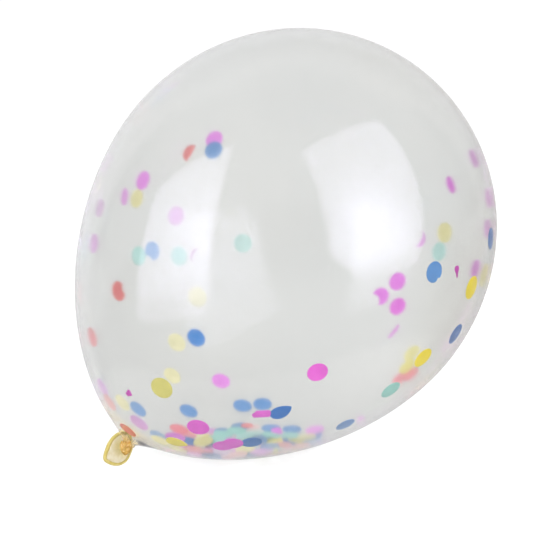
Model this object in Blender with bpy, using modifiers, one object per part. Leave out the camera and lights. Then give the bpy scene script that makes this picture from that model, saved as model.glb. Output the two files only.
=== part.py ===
"""Confetti balloon, blown up, tied and lying on its side.

Metres, +Z up. The balloon is one piece of latex: envelope, neck, knot and
rolled lip. It is sealed, so it is one solid. Its long axis lies in the XZ
plane, with the crown up at +X and the neck down at -X. The origin is the
centre of the flat spot that it rests on.
"""

import math

import bmesh
import bpy
from mathutils import Matrix, Vector

# ---- envelope ------------------------------------------------------------
DIAMETER = 0.2996          # widest, across the long axis
CROWN_REACH = 0.1583       # widest section to the crown
NECK_REACH = 0.1922        # widest section to the nose, where the neck starts
CROWN_FULLNESS = 2.05      # 2 is an ellipse, more is squarer
NECK_FULLNESS = 1.82       # how long the neck half stays wide
NECK_TAPER = 0.617         # 0.5 is a round nose, 1 is a pointed one
LEAN = math.radians(38.0)  # long axis above the ground, neck end down
FLAT_DEPTH = 0.005         # depth of the flat spot under the belly

CROWN_ROWS = 20
NECK_ROWS = 25
AROUND = 64

# ---- neck, knot and lip, from the nose -----------------------------------
NECK_ROOT_R = 0.0205       # flare, where it leaves the envelope inside
NECK_WAIST_R = 0.0054      # drawn in tight against the knot
NECK_WAIST_OUT = 0.0018    # past the nose, along the long axis
NECK_WAIST_DOWN = 0.0097   # sagged below the long axis
NECK_INSIDE = 0.024        # how far inside the envelope the flare starts
KNOT_DROP = 0.0049         # waist to knot centre
KNOT_HALF = (0.0041, 0.0046, 0.0060)
KNOT_WRAP_R = 0.0031       # the turn of latex round the knot
KNOT_WRAP_THICK = 0.0021
LIP_R = 0.01075            # middle of the rolled bead
LIP_BEAD = 0.00140         # half the bead's thickness
LIP_DISH = 0.0036          # depth of the open end
LIP_WALL = 0.0016
LIP_OFFSET = Vector((-0.0035, 0.0059, -0.0019))   # from the knot's centre
LIP_NORMAL = Vector((-0.032, 0.941, -0.327)).normalized()

LATEX = (0.86, 0.85, 0.83, 1.0)


def clear_scene():
    for old in list(bpy.data.objects):
        bpy.data.objects.remove(old, do_unlink=True)


def collection(name):
    made = bpy.data.collections.new(name)
    bpy.context.scene.collection.children.link(made)
    return made


def latex_material(name):
    made = bpy.data.materials.new(name)
    made.use_nodes = True
    shader = made.node_tree.nodes["Principled BSDF"]
    shader.inputs["Base Color"].default_value = LATEX
    shader.inputs["Roughness"].default_value = 0.12
    shader.inputs["Metallic"].default_value = 0.0
    return made


def envelope_radius(x):
    """Radius at x along the long axis: 0 at the widest, + to the crown."""
    half = DIAMETER / 2
    if x >= 0:
        t = min(x / CROWN_REACH, 1.0)
        return half * math.sqrt(max(1.0 - t ** CROWN_FULLNESS, 0.0))
    t = min(-x / NECK_REACH, 1.0)
    return half * max(1.0 - t ** NECK_FULLNESS, 0.0) ** NECK_TAPER


def envelope_profile():
    """(radius, x) from the crown down to the nose."""
    rows = []
    for i in range(CROWN_ROWS):
        x = CROWN_REACH * math.cos(math.pi / 2 * i / CROWN_ROWS)
        rows.append((envelope_radius(x), x))
    for i in range(NECK_ROWS + 1):
        x = -NECK_REACH * math.sin(math.pi / 2 * i / NECK_ROWS)
        rows.append((envelope_radius(x), x))
    rows[0] = (0.0, CROWN_REACH)
    rows[-1] = (0.0, -NECK_REACH)
    return rows


def lowest_of_envelope():
    """Depth of the lowest point under the widest section's centre, and how
    far it lies from that centre towards the crown."""
    best = (-1.0, 0.0)
    for i in range(20001):
        x = -NECK_REACH * math.sin(math.pi / 2 * i / 20000)
        r = envelope_radius(x)
        depth = -x * math.sin(LEAN) + r * math.cos(LEAN)
        if depth > best[0]:
            best = (depth, x * math.cos(LEAN) + r * math.sin(LEAN))
    return best


def turned(name, rows, steps, where, home):
    """A profile of (radius, height) turned round Z, top to bottom."""
    mesh = bpy.data.meshes.new(name)
    verts = [(r, 0.0, z) for r, z in rows]
    mesh.from_pydata(verts, [(i, i + 1) for i in range(len(rows) - 1)], [])
    made = bpy.data.objects.new(name, mesh)
    where.objects.link(made)
    screw = made.modifiers.new("turn", "SCREW")
    screw.axis = "Z"
    screw.angle = math.tau
    screw.steps = steps
    screw.render_steps = steps
    screw.use_merge_vertices = True
    screw.merge_threshold = 0.00001
    screw.use_smooth_shade = True
    made.matrix_world = home
    return made


def as_guide(made):
    made.hide_render = True
    made.display_type = "WIRE"


def frame_along(direction, at):
    """A matrix at a point, with its Z along a direction."""
    turn = Vector(direction).to_track_quat("Z", "Y").to_matrix().to_4x4()
    return Matrix.Translation(at) @ turn


def joined(target, tool):
    made = target.modifiers.new("join_" + tool.name, "BOOLEAN")
    made.operation = "UNION"
    made.solver = "EXACT"
    made.object = tool


def neck_tube(name, where, inside, waist, knot):
    """Tapered tube: flared inside the envelope, tight at the waist."""
    data = bpy.data.curves.new(name, "CURVE")
    data.dimensions = "3D"
    data.bevel_depth = 1.0
    data.bevel_resolution = 5
    data.use_fill_caps = True
    count = 10
    spline = data.splines.new("POLY")
    spline.points.add(count + 1)
    run = waist - inside
    sag = Vector((0.0, 0.0, -1.0))
    for i in range(count + 1):
        t = i / count
        bow = 0.0012 * math.sin(math.pi * t)
        point = inside + run * t - sag * bow
        flare = 1.0 - t ** 1.6
        spline.points[i].co = (*point, 1.0)
        spline.points[i].radius = (
            NECK_WAIST_R + (NECK_ROOT_R - NECK_WAIST_R) * flare
        )
    spline.points[count + 1].co = (*knot, 1.0)
    spline.points[count + 1].radius = NECK_WAIST_R * 0.62
    curve = bpy.data.objects.new(name + "_path", data)
    where.objects.link(curve)
    bpy.context.view_layer.update()
    graph = bpy.context.evaluated_depsgraph_get()
    mesh = bpy.data.meshes.new_from_object(curve.evaluated_get(graph))
    bm = bmesh.new()
    bm.from_mesh(mesh)
    bmesh.ops.remove_doubles(bm, verts=bm.verts, dist=0.00001)
    bmesh.ops.recalc_face_normals(bm, faces=bm.faces)
    bm.to_mesh(mesh)
    bm.free()
    made = bpy.data.objects.new(name, mesh)
    where.objects.link(made)
    made.matrix_world = curve.matrix_world
    bpy.data.objects.remove(curve, do_unlink=True)
    return made


def ellipsoid(name, half, home, where):
    mesh = bpy.data.meshes.new(name)
    bm = bmesh.new()
    bmesh.ops.create_uvsphere(bm, u_segments=20, v_segments=12, radius=1.0)
    bmesh.ops.scale(bm, vec=half, verts=bm.verts)
    bm.to_mesh(mesh)
    bm.free()
    made = bpy.data.objects.new(name, mesh)
    where.objects.link(made)
    made.matrix_world = home
    return made


def ring(name, major, minor, home, where):
    """A torus round Z, as a turned circle that closes on itself."""
    sides = 10
    mesh = bpy.data.meshes.new(name)
    verts = []
    for i in range(sides):
        a = -math.tau * i / sides
        verts.append((major + minor * math.cos(a), 0.0, minor * math.sin(a)))
    mesh.from_pydata(verts, [(i, (i + 1) % sides) for i in range(sides)], [])
    made = bpy.data.objects.new(name, mesh)
    where.objects.link(made)
    screw = made.modifiers.new("turn", "SCREW")
    screw.axis = "Z"
    screw.angle = math.tau
    screw.steps = 24
    screw.render_steps = 24
    screw.use_merge_vertices = True
    screw.merge_threshold = 0.00001
    made.matrix_world = home
    return made


def lip_rows():
    """(radius, height) of the open end: dish, rolled bead, back wall."""
    rows = [(0.0, -LIP_DISH)]
    for k in (0.35, 0.65):
        rows.append((LIP_R * k, -LIP_DISH * (1 - k ** 2)))
    # over the bead, from its inner foot to its outer foot
    turns = 11
    for i in range(turns + 1):
        a = math.radians(215.0 - 270.0 * i / turns)
        rows.append(
            (LIP_R + LIP_BEAD * math.cos(a), LIP_BEAD * math.sin(a))
        )
    for k in (0.7, 0.4):
        rows.append((LIP_R * k, -LIP_DISH * (1 - k ** 2) - LIP_WALL))
    rows.append((0.0, -LIP_DISH - LIP_WALL))
    return rows


def build():
    clear_scene()
    balloon_parts = collection("confetti_balloon")
    tools = collection("cutters")

    depth, reach = lowest_of_envelope()
    centre = Vector((-reach, 0.0, depth - FLAT_DEPTH))
    along = Vector((math.cos(LEAN), 0.0, math.sin(LEAN)))
    below = Vector((math.sin(LEAN), 0.0, -math.cos(LEAN)))

    lay = Matrix.Translation(centre) @ Matrix.Rotation(
        math.pi / 2 - LEAN, 4, "Y"
    )
    balloon = turned("balloon", envelope_profile(), AROUND, balloon_parts, lay)
    balloon.data.materials.append(latex_material("latex"))

    nose = centre - along * NECK_REACH
    waist = nose - along * NECK_WAIST_OUT + below * NECK_WAIST_DOWN
    inside = nose + along * (NECK_INSIDE - NECK_WAIST_OUT) + below * 0.0035
    knot = waist + Vector((-0.375, 0.0, -0.927)).normalized() * KNOT_DROP

    neck = neck_tube("neck_tool", tools, inside, waist, knot)
    core = ellipsoid(
        "knot_tool",
        KNOT_HALF,
        frame_along((0.25, 0.0, 1.0), knot),
        tools,
    )
    wrap = ring(
        "knot_wrap_tool",
        KNOT_WRAP_R,
        KNOT_WRAP_THICK,
        frame_along((0.75, -0.2, 0.6), knot + Vector((0.0004, -0.0004, 0.0006))),
        tools,
    )
    lip = turned(
        "lip_tool",
        lip_rows(),
        36,
        tools,
        frame_along(LIP_NORMAL, knot + LIP_OFFSET),
    )
    for tool in (neck, core, wrap, lip):
        as_guide(tool)
        joined(balloon, tool)

    # the flat spot it rests on
    mesh = bpy.data.meshes.new("ground_tool")
    bm = bmesh.new()
    bmesh.ops.create_cube(bm, size=1.0)
    bmesh.ops.scale(bm, vec=(0.5, 0.5, 0.1), verts=bm.verts)
    bmesh.ops.translate(bm, vec=(0.0, 0.0, -0.05), verts=bm.verts)
    bm.to_mesh(mesh)
    bm.free()
    ground = bpy.data.objects.new("ground_tool", mesh)
    tools.objects.link(ground)
    as_guide(ground)
    cut = balloon.modifiers.new("flat_spot", "BOOLEAN")
    cut.operation = "DIFFERENCE"
    cut.solver = "EXACT"
    cut.object = ground


build()
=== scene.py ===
"""Confetti balloon: the looks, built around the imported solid.

The clear skin, the knot and the rolled lip replace the one solid. The paper
dots are sealed inside and stick to the inner side of the skin or lie in a
heap at its lowest point. Metres, +Z up, origin at the flat spot.
"""

import math
import random

import bmesh
import bpy
import numpy as np
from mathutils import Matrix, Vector
from mathutils.bvhtree import BVHTree


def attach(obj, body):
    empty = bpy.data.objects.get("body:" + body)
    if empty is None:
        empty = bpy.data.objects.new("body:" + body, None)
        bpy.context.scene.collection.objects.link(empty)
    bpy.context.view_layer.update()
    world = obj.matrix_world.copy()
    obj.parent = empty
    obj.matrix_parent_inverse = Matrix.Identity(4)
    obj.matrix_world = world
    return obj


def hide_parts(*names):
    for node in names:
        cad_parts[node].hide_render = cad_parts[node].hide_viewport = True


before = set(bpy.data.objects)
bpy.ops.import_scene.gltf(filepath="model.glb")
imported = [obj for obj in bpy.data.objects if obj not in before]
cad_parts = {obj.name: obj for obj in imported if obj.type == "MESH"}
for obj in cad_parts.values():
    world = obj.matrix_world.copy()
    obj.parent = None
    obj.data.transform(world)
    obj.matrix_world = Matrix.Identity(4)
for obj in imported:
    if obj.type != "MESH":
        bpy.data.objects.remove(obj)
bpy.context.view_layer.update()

scene = bpy.context.scene

# ---- the solid's own sizes ---------------------------------------------------
DIAMETER = 0.2996
CROWN_REACH = 0.1583
NECK_REACH = 0.1922
CROWN_FULLNESS = 2.05
NECK_FULLNESS = 1.82
NECK_TAPER = 0.617
LEAN = math.radians(38.0)
FLAT_DEPTH = 0.005
NECK_WAIST_R = 0.0054
NECK_WAIST_OUT = 0.0018
NECK_WAIST_DOWN = 0.0097
KNOT_DROP = 0.0049
LIP_R = 0.01075
LIP_BEAD = 0.00140
LIP_OFFSET = np.array((-0.0035, 0.0059, -0.0019))
LIP_NORMAL = np.array((-0.032, 0.941, -0.327))
LIP_NORMAL /= np.linalg.norm(LIP_NORMAL)

# ---- sizes of the looks ------------------------------------------------------
SKIN = 0.00025            # wall of the clear skin
SKIN_NECK = 0.0007        # the same wall where it isn't stretched
DOT = 0.015               # a paper dot
PAPER = 0.00012
FUNNEL_X = -0.1865        # where the neck's funnel starts
AROUND = 208

U = np.array((math.cos(LEAN), 0.0, math.sin(LEAN)))      # to the crown
W = np.array((math.sin(LEAN), 0.0, -math.cos(LEAN)))     # under side
V = np.array((0.0, 1.0, 0.0))
DOWN = np.array((-0.375, 0.0, -0.927))
DOWN /= np.linalg.norm(DOWN)


def unit(v):
    v = np.asarray(v, float)
    return v / np.linalg.norm(v, axis=-1, keepdims=True)


# ---- envelope profile --------------------------------------------------------
def solid_radius(x):
    half = DIAMETER / 2
    x = np.asarray(x, float)
    c = np.clip(x / CROWN_REACH, 0.0, 1.0)
    n = np.clip(-x / NECK_REACH, 0.0, 1.0)
    crown = half * np.sqrt(np.maximum(1 - c ** CROWN_FULLNESS, 0))
    neck = half * np.maximum(1 - n ** NECK_FULLNESS, 0) ** NECK_TAPER
    return np.where(x >= 0, crown, neck)


def envelope_centre():
    x = -NECK_REACH * np.sin(np.linspace(0, math.pi / 2, 20001))
    r = solid_radius(x)
    depth = -x * math.sin(LEAN) + r * math.cos(LEAN)
    k = int(depth.argmax())
    reach = x[k] * math.cos(LEAN) + r[k] * math.sin(LEAN)
    return np.array((-reach, 0.0, depth[k] - FLAT_DEPTH))


CENTRE = envelope_centre()
NOSE = CENTRE - U * NECK_REACH
WAIST = NOSE - U * NECK_WAIST_OUT + W * NECK_WAIST_DOWN
KNOT = WAIST + DOWN * KNOT_DROP
LIP = KNOT + LIP_OFFSET


def smooth_profile():
    """(x, r) by even steps of length, with the turn at the widest eased."""
    a = np.linspace(0, math.pi / 2, 4000)
    x = np.concatenate((CROWN_REACH * np.cos(a), -NECK_REACH * np.sin(a[1:])))
    r = solid_radius(x)
    r[0] = 0.0
    s = np.concatenate(([0], np.cumsum(np.hypot(np.diff(x), np.diff(r)))))
    step = 0.0005
    e = np.arange(0, s[-1], step)
    xe, re = np.interp(e, s, x), np.interp(e, s, r)
    pad = 60
    xp = np.concatenate((xe[1:pad + 1][::-1], xe))
    rp = np.concatenate((-re[1:pad + 1][::-1], re))
    half = 30
    k = np.exp(-0.5 * (np.arange(-half, half + 1) / 9.0) ** 2)
    k /= k.sum()
    xs = np.convolve(xp, k, "same")[pad:]
    rs = np.convolve(rp, k, "same")[pad:]
    keep = len(e) - half - 1
    w = np.clip((keep - np.arange(len(e))) / 40.0, 0, 1)
    xs, rs = xe + (xs - xe) * w, re + (rs - re) * w
    rs[0] = 0.0
    return xs, rs


PX, PR = smooth_profile()


def radius_at(x):
    return np.interp(-np.asarray(x, float), -PX, PR)


def slope_at(x):
    h = 0.0006
    return (radius_at(np.asarray(x) + h) - radius_at(np.asarray(x) - h)) / (2 * h)


def pressed(z):
    """The skin lies flat where it meets the surface below."""
    k = 0.0007
    return 0.5 * (z + np.sqrt(z * z + 4 * k * k))


def wall_normal(x, e):
    return unit(e - slope_at(x)[..., None] * U)


def wall_point(x, e, inward):
    """On the skin at x along the axis, in radial direction e, moved inward."""
    n = wall_normal(x, e)
    p = CENTRE + x[..., None] * U + radius_at(x)[..., None] * e
    p = p.copy()
    p[..., 2] = pressed(p[..., 2])
    return p - inward[..., None] * n


def to_wall(p, inward):
    """The nearest place on the skin by the way that runs from the axis."""
    q = np.asarray(p, float) - CENTRE
    x = np.clip(q @ U, -NECK_REACH + 0.003, CROWN_REACH - 0.002)
    rad = q - (q @ U)[..., None] * U
    e = unit(rad)
    inward = np.broadcast_to(np.asarray(inward, float), x.shape)
    return wall_point(x, e, inward), wall_normal(x, e)


# ---- mesh helpers ------------------------------------------------------------
def new_object(name, verts, faces, smooth=True):
    mesh = bpy.data.meshes.new(name)
    mesh.from_pydata([tuple(map(float, v)) for v in verts], [], faces)
    mesh.validate()
    mesh.update()
    obj = bpy.data.objects.new(name, mesh)
    scene.collection.objects.link(obj)
    if smooth:
        mesh.shade_smooth()
    return obj


def closed_rows(rings, first, last, flip=False):
    """Verts and faces of rings closed by a point at each end."""
    rings = np.asarray(rings)
    n, m = rings.shape[:2]
    verts = [first] + [p for ring in rings for p in ring] + [last]
    faces = []
    for j in range(m):
        k = (j + 1) % m
        faces.append((0, 1 + j, 1 + k))
        for i in range(n - 1):
            a, b = 1 + i * m, 1 + (i + 1) * m
            faces.append((a + j, b + j, b + k, a + k))
        z = 1 + (n - 1) * m
        faces.append((z + j, len(verts) - 1, z + k))
    if flip:
        faces = [f[::-1] for f in faces]
    return verts, faces


def grid_normals(rings, first, last):
    """Outward normals of rings that run from first to last."""
    n, m = rings.shape[:2]
    ahead = np.roll(rings, -1, 1) - np.roll(rings, 1, 1)
    up = np.concatenate((np.broadcast_to(first, (1, m, 3)), rings[:-1]))
    dn = np.concatenate((rings[1:], np.broadcast_to(last, (1, m, 3))))
    return unit(np.cross(dn - up, ahead))


# ---- the clear skin ----------------------------------------------------------
PHI = np.linspace(0, 2 * math.pi, AROUND, endpoint=False)


def skin_rings():
    """Rings from the crown to the end of the neck inside the knot."""
    start = float(np.interp(-FUNNEL_X, -PX, np.arange(len(PX))))
    # even steps, closer where the shape turns fast
    idx = []
    s = 4.0
    while s < start:
        idx.append(s)
        left = start - s
        s += max(1.6, min(6.6, 1.5 + left * 0.06))
    idx = [1.2, 2.4] + idx + [start]
    e = np.cos(PHI)[:, None] * W + np.sin(PHI)[:, None] * V
    rings = []
    for i in idx:
        x = float(np.interp(i, np.arange(len(PX)), PX))
        r = float(np.interp(i, np.arange(len(PX)), PR))
        ring = CENTRE + x * U + r * e
        ring[:, 2] = pressed(ring[:, 2])
        rings.append(ring)
    # funnel: from the last ring to the waist, gathered into pleats
    r0 = float(radius_at(FUNNEL_X))
    p0 = CENTRE + FUNNEL_X * U + r0 * e
    t0 = unit(-U - float(slope_at(np.array(FUNNEL_X))) * e)
    across = np.cross(DOWN, V)
    across /= np.linalg.norm(across)
    ew = np.cos(PHI)[:, None] * across + np.sin(PHI)[:, None] * V
    # on the under side the latex is drawn further down, in a small flap
    turn = (PHI + math.pi) % (2 * math.pi) - math.pi
    flap = np.exp(-(np.abs(turn + 0.10) / 0.80) ** 4)[:, None]
    # and sags a little where it leaves the body
    sag = DOWN * 0.0006 * flap
    p0 = p0 + sag
    for k in range(1, 14):
        rings[-k] = rings[-k] + sag * (1 - (k - 1) / 13) ** 2
    over = (0.5 - 0.5 * np.cos(PHI))[:, None]        # 1 on the upper side
    p3 = WAIST + np.array((0.0006, -0.0005, 0.0)) * over
    p3 = p3 + (NECK_WAIST_R - 0.0007 * over) * ew + DOWN * 0.0030 * flap
    far = np.linalg.norm(p3 - p0, axis=1)[:, None]
    h0 = p0 + t0 * far * (0.42 + 0.12 * over)
    # the upper side comes down nearly straight
    h3 = p3 - DOWN * far * 0.20 * (1 - over) + (p0 - p3) * 0.28 * over
    pleat = (
        0.55 * np.cos(11 * PHI + 0.6)
        + 0.35 * np.cos(17 * PHI + 2.1)
        + 0.25 * np.cos(7 * PHI - 0.9)
    )[:, None]
    steps = 26

    def crease(row):
        """The line where the flap folds up against the neck, on both sides: it sets the funnel's groove and the
        painted shade along the crease.
        """
        at = np.interp(row, (-9, -3, 3, 12, 17), (-0.24, -0.42, -0.63, -0.97, -1.33))
        share = np.interp(row, (-12, -8, 14, 19), (0, 1, 1, 0))
        wide = max(0.15 + 0.010 * (row + 9), 0.10)
        out = np.zeros(AROUND)
        for side, weight in ((1, 1.0), (-1, 0.4)):
            off = side * turn - at
            soft = np.where(off < 0, 0.5, 1.6) * wide
            out = np.maximum(out, weight * np.exp(-(off / soft) ** 2))
        return out * share

    # painted shade along the crease under the neck, one row for each ring
    crease_shade = [crease(i - len(rings)) for i in range(len(rings))]
    for k in range(1, steps + 1):
        t = k / steps
        t = 0.5 * t + 0.5 * (1 - (1 - t) ** 1.6)
        p = (
            (1 - t) ** 3 * p0
            + 3 * (1 - t) ** 2 * t * h0
            + 3 * (1 - t) * t * t * h3
            + t ** 3 * p3
        )
        mid = p.mean(0)
        out = unit(p - mid)
        deep = 0.00062 * (t ** 2.2) * (1.0 if t < 0.999 else 0.95)
        groove = crease(k)
        p = p + DOWN * 0.0008 * flap * math.sin(math.pi * t)
        rings.append(p + out * (pleat * deep - groove[:, None] * 0.0008 * t))
        # painted shade on the flap's end, where it bunches against the knot
        crease_shade.append(np.maximum(groove, flap[:, 0] * np.interp(k, (12, 17), (0, 0.3))))
    last = rings[-1]
    for k, (down, size) in enumerate(
        ((0.0008, 0.96), (0.0017, 0.84), (0.0026, 0.66), (0.0033, 0.40))
    ):
        mid = WAIST
        rings.append(mid + DOWN * down + (last - mid) * size)
        crease_shade.append(crease_shade[-1] * 0.5)
    rings = np.array(rings)
    first = CENTRE + CROWN_REACH * U
    end = WAIST + DOWN * 0.0036
    return rings, first, end, np.array(crease_shade)


def make_skin():
    rings, first, end, crease_shade = skin_rings()
    n = grid_normals(rings, first, end)
    near = np.linalg.norm(rings - WAIST, axis=2)
    k = np.clip((0.030 - near) / 0.024, 0, 1)[..., None]
    wall = SKIN + (SKIN_NECK - SKIN) * k * k * (3 - 2 * k)
    inner = rings - n * wall
    v1, f1 = closed_rows(rings, first, end)
    v2, f2 = closed_rows(inner, first - U * SKIN, end - DOWN * 0.0007, True)
    off = len(v1)
    faces = f1 + [tuple(i + off for i in f) for f in f2]
    made = new_object("balloon_skin", v1 + v2, faces)
    # the crease's painted shade is stored in the fold attribute, on both walls
    one = np.concatenate(([0.0], crease_shade.ravel(), [0.0]))
    att = made.data.attributes.new("fold", "FLOAT", "POINT")
    att.data.foreach_set("value", np.concatenate((one, one)).astype(np.float32))
    return made


# ---- materials ---------------------------------------------------------------
def shader_material(name):
    mat = bpy.data.materials.new(name)
    mat.use_nodes = True
    nt = mat.node_tree
    return mat, nt, nt.nodes["Principled BSDF"]


def node(nt, kind, **values):
    made = nt.nodes.new(kind)
    for key, value in values.items():
        if hasattr(made, key):
            setattr(made, key, value)
        else:
            made.inputs[key.replace("_", " ")].default_value = value
    return made


def mix_colour(nt, factor, a, b):
    m = nt.nodes.new("ShaderNodeMix")
    m.data_type = "RGBA"
    if isinstance(factor, (int, float)):
        m.inputs[0].default_value = factor
    else:
        nt.links.new(factor, m.inputs[0])
    for socket, value in ((m.inputs[6], a), (m.inputs[7], b)):
        if isinstance(value, tuple):
            socket.default_value = (*value, 1.0)
        else:
            nt.links.new(value, socket)
    return m.outputs[2]


def ramp(nt, value, lo, hi, smooth=True):
    m = nt.nodes.new("ShaderNodeMapRange")
    m.interpolation_type = "SMOOTHSTEP" if smooth else "LINEAR"
    m.clamp = True
    nt.links.new(value, m.inputs["Value"])
    m.inputs["From Min"].default_value = lo
    m.inputs["From Max"].default_value = hi
    return m.outputs["Result"]


def noise(nt, coords, scale, detail=3.0, rough=0.5):
    m = nt.nodes.new("ShaderNodeTexNoise")
    m.inputs["Scale"].default_value = scale
    m.inputs["Detail"].default_value = detail
    m.inputs["Roughness"].default_value = rough
    nt.links.new(coords, m.inputs["Vector"])
    return m.outputs["Fac"]


def distance_to(nt, coords, point):
    m = nt.nodes.new("ShaderNodeVectorMath")
    m.operation = "DISTANCE"
    nt.links.new(coords, m.inputs[0])
    m.inputs[1].default_value = tuple(map(float, point))
    return m.outputs["Value"]


def bump(nt, height, strength, distance, target):
    b = nt.nodes.new("ShaderNodeBump")
    b.inputs["Strength"].default_value = strength
    b.inputs["Distance"].default_value = distance
    nt.links.new(height, b.inputs["Height"])
    nt.links.new(b.outputs["Normal"], target)


SKIN_IOR = 1.20
SKIN_ROUGH = 0.10


def skin_material():
    mat, nt, bsdf = shader_material("latex_clear")
    bsdf.inputs["Transmission Weight"].default_value = 1.0
    bsdf.inputs["Roughness"].default_value = SKIN_ROUGH
    bsdf.inputs["IOR"].default_value = SKIN_IOR
    co = nt.nodes.new("ShaderNodeTexCoord").outputs["Object"]
    near = distance_to(nt, co, WAIST)
    clouds = noise(nt, co, 9.0, 2.0)
    clear = mix_colour(nt, ramp(nt, clouds, 0.3, 0.7), (0.782, 0.788, 0.782), (0.796, 0.800, 0.791))
    # a little milkier towards the neck, where it is stretched less
    milky = mix_colour(nt, ramp(nt, near, 0.22, 0.08), clear, (0.773, 0.777, 0.768))
    warm = mix_colour(nt, ramp(nt, near, 0.046, 0.014), milky, (0.82, 0.78, 0.69))
    tan = mix_colour(nt, ramp(nt, near, 0.0105, 0.0055), warm, (0.95, 0.86, 0.66))
    # painted shade: the crease under the neck and the flap's end are painted dark grey
    fold = nt.nodes.new("ShaderNodeAttribute")
    fold.attribute_type = "GEOMETRY"
    fold.attribute_name = "fold"
    tan = mix_colour(nt, fold.outputs["Fac"], tan, (0.24, 0.24, 0.27))
    # painted shade: a darker band down the right side of the skin, towards its edge
    side = Vector((0.684, -0.652, -0.325))
    reach = max(v.co.dot(side) for v in skin.data.vertices)
    out = nt.nodes.new("ShaderNodeVectorMath")
    out.operation = "DOT_PRODUCT"
    nt.links.new(co, out.inputs[0])
    out.inputs[1].default_value = side
    thick = nt.nodes.new("ShaderNodeMix")
    thick.data_type = "RGBA"
    thick.blend_type = "MULTIPLY"
    nt.links.new(ramp(nt, out.outputs["Value"], reach - 0.050, reach - 0.007), thick.inputs[0])
    nt.links.new(tan, thick.inputs[6])
    thick.inputs[7].default_value = (0.935, 0.925, 0.905, 1.0)
    nt.links.new(thick.outputs[2], bsdf.inputs["Base Color"])
    return mat


# ---- build -------------------------------------------------------------------
skin = make_skin()
skin.data.materials.append(skin_material())
skin.visible_shadow = False
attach(skin, "root")
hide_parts("balloon")

BACK = np.array((-0.58348472, -0.75767035, 0.2923717))

# ---- paper dots --------------------------------------------------------------
CAM_AT = np.array((-0.66444517, -0.89694503, 0.46695752))
RIGHT = np.array((0.79228964, -0.61014516, 0.0))
UP = np.array((0.17838918, 0.23164307, 0.95630476))
FOCAL = 1577.0            # pixels, in a frame of 560 x 560
LIE = SKIN + 0.00022      # middle of a dot under the skin's outer side


def sight(px, py):
    return unit((px - 280) / FOCAL * RIGHT - (py - 280) / FOCAL * UP - BACK)


def hits(px, py):
    """Where a line of sight meets the near and the far side inside the skin."""
    d = sight(px, py)
    t = np.arange(0.86, 1.46, 0.0002)
    p = CAM_AT + t[:, None] * d
    q = p - CENTRE
    x = q @ U
    rho = np.linalg.norm(q - x[:, None] * U, axis=1)
    inside = (rho < radius_at(x) - LIE) & (x < CROWN_REACH - LIE) & (x > -NECK_REACH)
    inside &= p[:, 2] > 0.0006
    k = np.flatnonzero(inside)
    if len(k) == 0:
        return None
    return p[k[0]], p[k[-1]]


def outline(kind, size, rng):
    """Lower and upper edge of a paper shape, from its left to its right end."""
    r = DOT / 2 * size
    n = 22
    s = np.linspace(0, math.pi, n + 1)
    a = -np.cos(s)
    arc = np.sin(s)
    if kind == "round":
        lo, up = -arc, arc
    elif kind == "half":
        lo, up = -0.12 * arc, arc
        lo, up = lo - 0.4, up - 0.4
    elif kind == "crescent":
        lo, up = 0.45 * arc, arc
        lo, up = lo - 0.7, up - 0.7
    elif kind == "sliver":
        lo, up = 0.70 * arc, arc
        lo, up = lo - 0.85, up - 0.85
    elif kind == "leaf":
        lo, up = -0.62 * arc, 0.62 * arc
        a = a * 1.0
    elif kind == "bitten":
        # another round has been punched out of it
        lo = np.maximum(-arc, np.sqrt(np.maximum(0.86 - a * a, 0)) - 1.16)
        up = arc
    elif kind == "blade":
        lo, up = -0.10 * arc, 0.36 * arc
    elif kind == "clipped":
        nick = np.exp(-((a - 0.55) / 0.34) ** 4)
        lo, up = -arc * (1 - 0.42 * nick), arc
    elif kind == "notched":
        nick = np.exp(-((a - 0.55) / 0.13) ** 2)
        lo, up = -arc * (1 - 0.34 * nick), arc
    elif kind == "wedge":
        lo, up = -0.55 * arc * (0.6 + 0.4 * a), 0.55 * arc * (0.8 + 0.2 * a)
    elif kind == "petal":
        # folded over: round at one end, pointed at the other
        thick = 0.92 * (1 - a) ** 0.75 * (1 + a) ** 0.5 / 1.25
        lo, up = -thick, thick
    elif kind == "strip":
        lo = -0.50 * np.minimum(1, np.minimum((1 + a) * 7, (1 - a) * 9))
        up = 0.54 * np.minimum(1, np.minimum((1 + a) * 2.0, (1 - a) * 9))
    elif kind == "comma":
        thick = arc ** 0.6 * (0.22 + 0.42 / (1 + np.exp(-7 * (a - 0.05))))
        lo, up = -thick + 0.12 * a, thick + 0.12 * a
    elif kind == "scrap":
        wob = 1 + 0.35 * np.sin(3 * s + rng.uniform(0, 6)) * arc
        lo, up = -0.8 * arc * wob, 0.7 * arc * (2 - wob)
    else:
        raise ValueError(kind)
    wave = rng.uniform(-0.015, 0.015, 2)
    lo = lo * (1 + wave[0])
    up = up * (1 + wave[1])
    return a * r, lo * r, up * r


def sheet_grid(kind, size, rng, across=6):
    """(columns, rows, 2) of places in the plane of the paper."""
    a, lo, up = outline(kind, size, rng)
    t = np.linspace(0, 1, across + 1)
    b = lo[:, None] + (up - lo)[:, None] * t
    return np.stack((np.broadcast_to(a[:, None], b.shape), b), 2)


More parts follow.
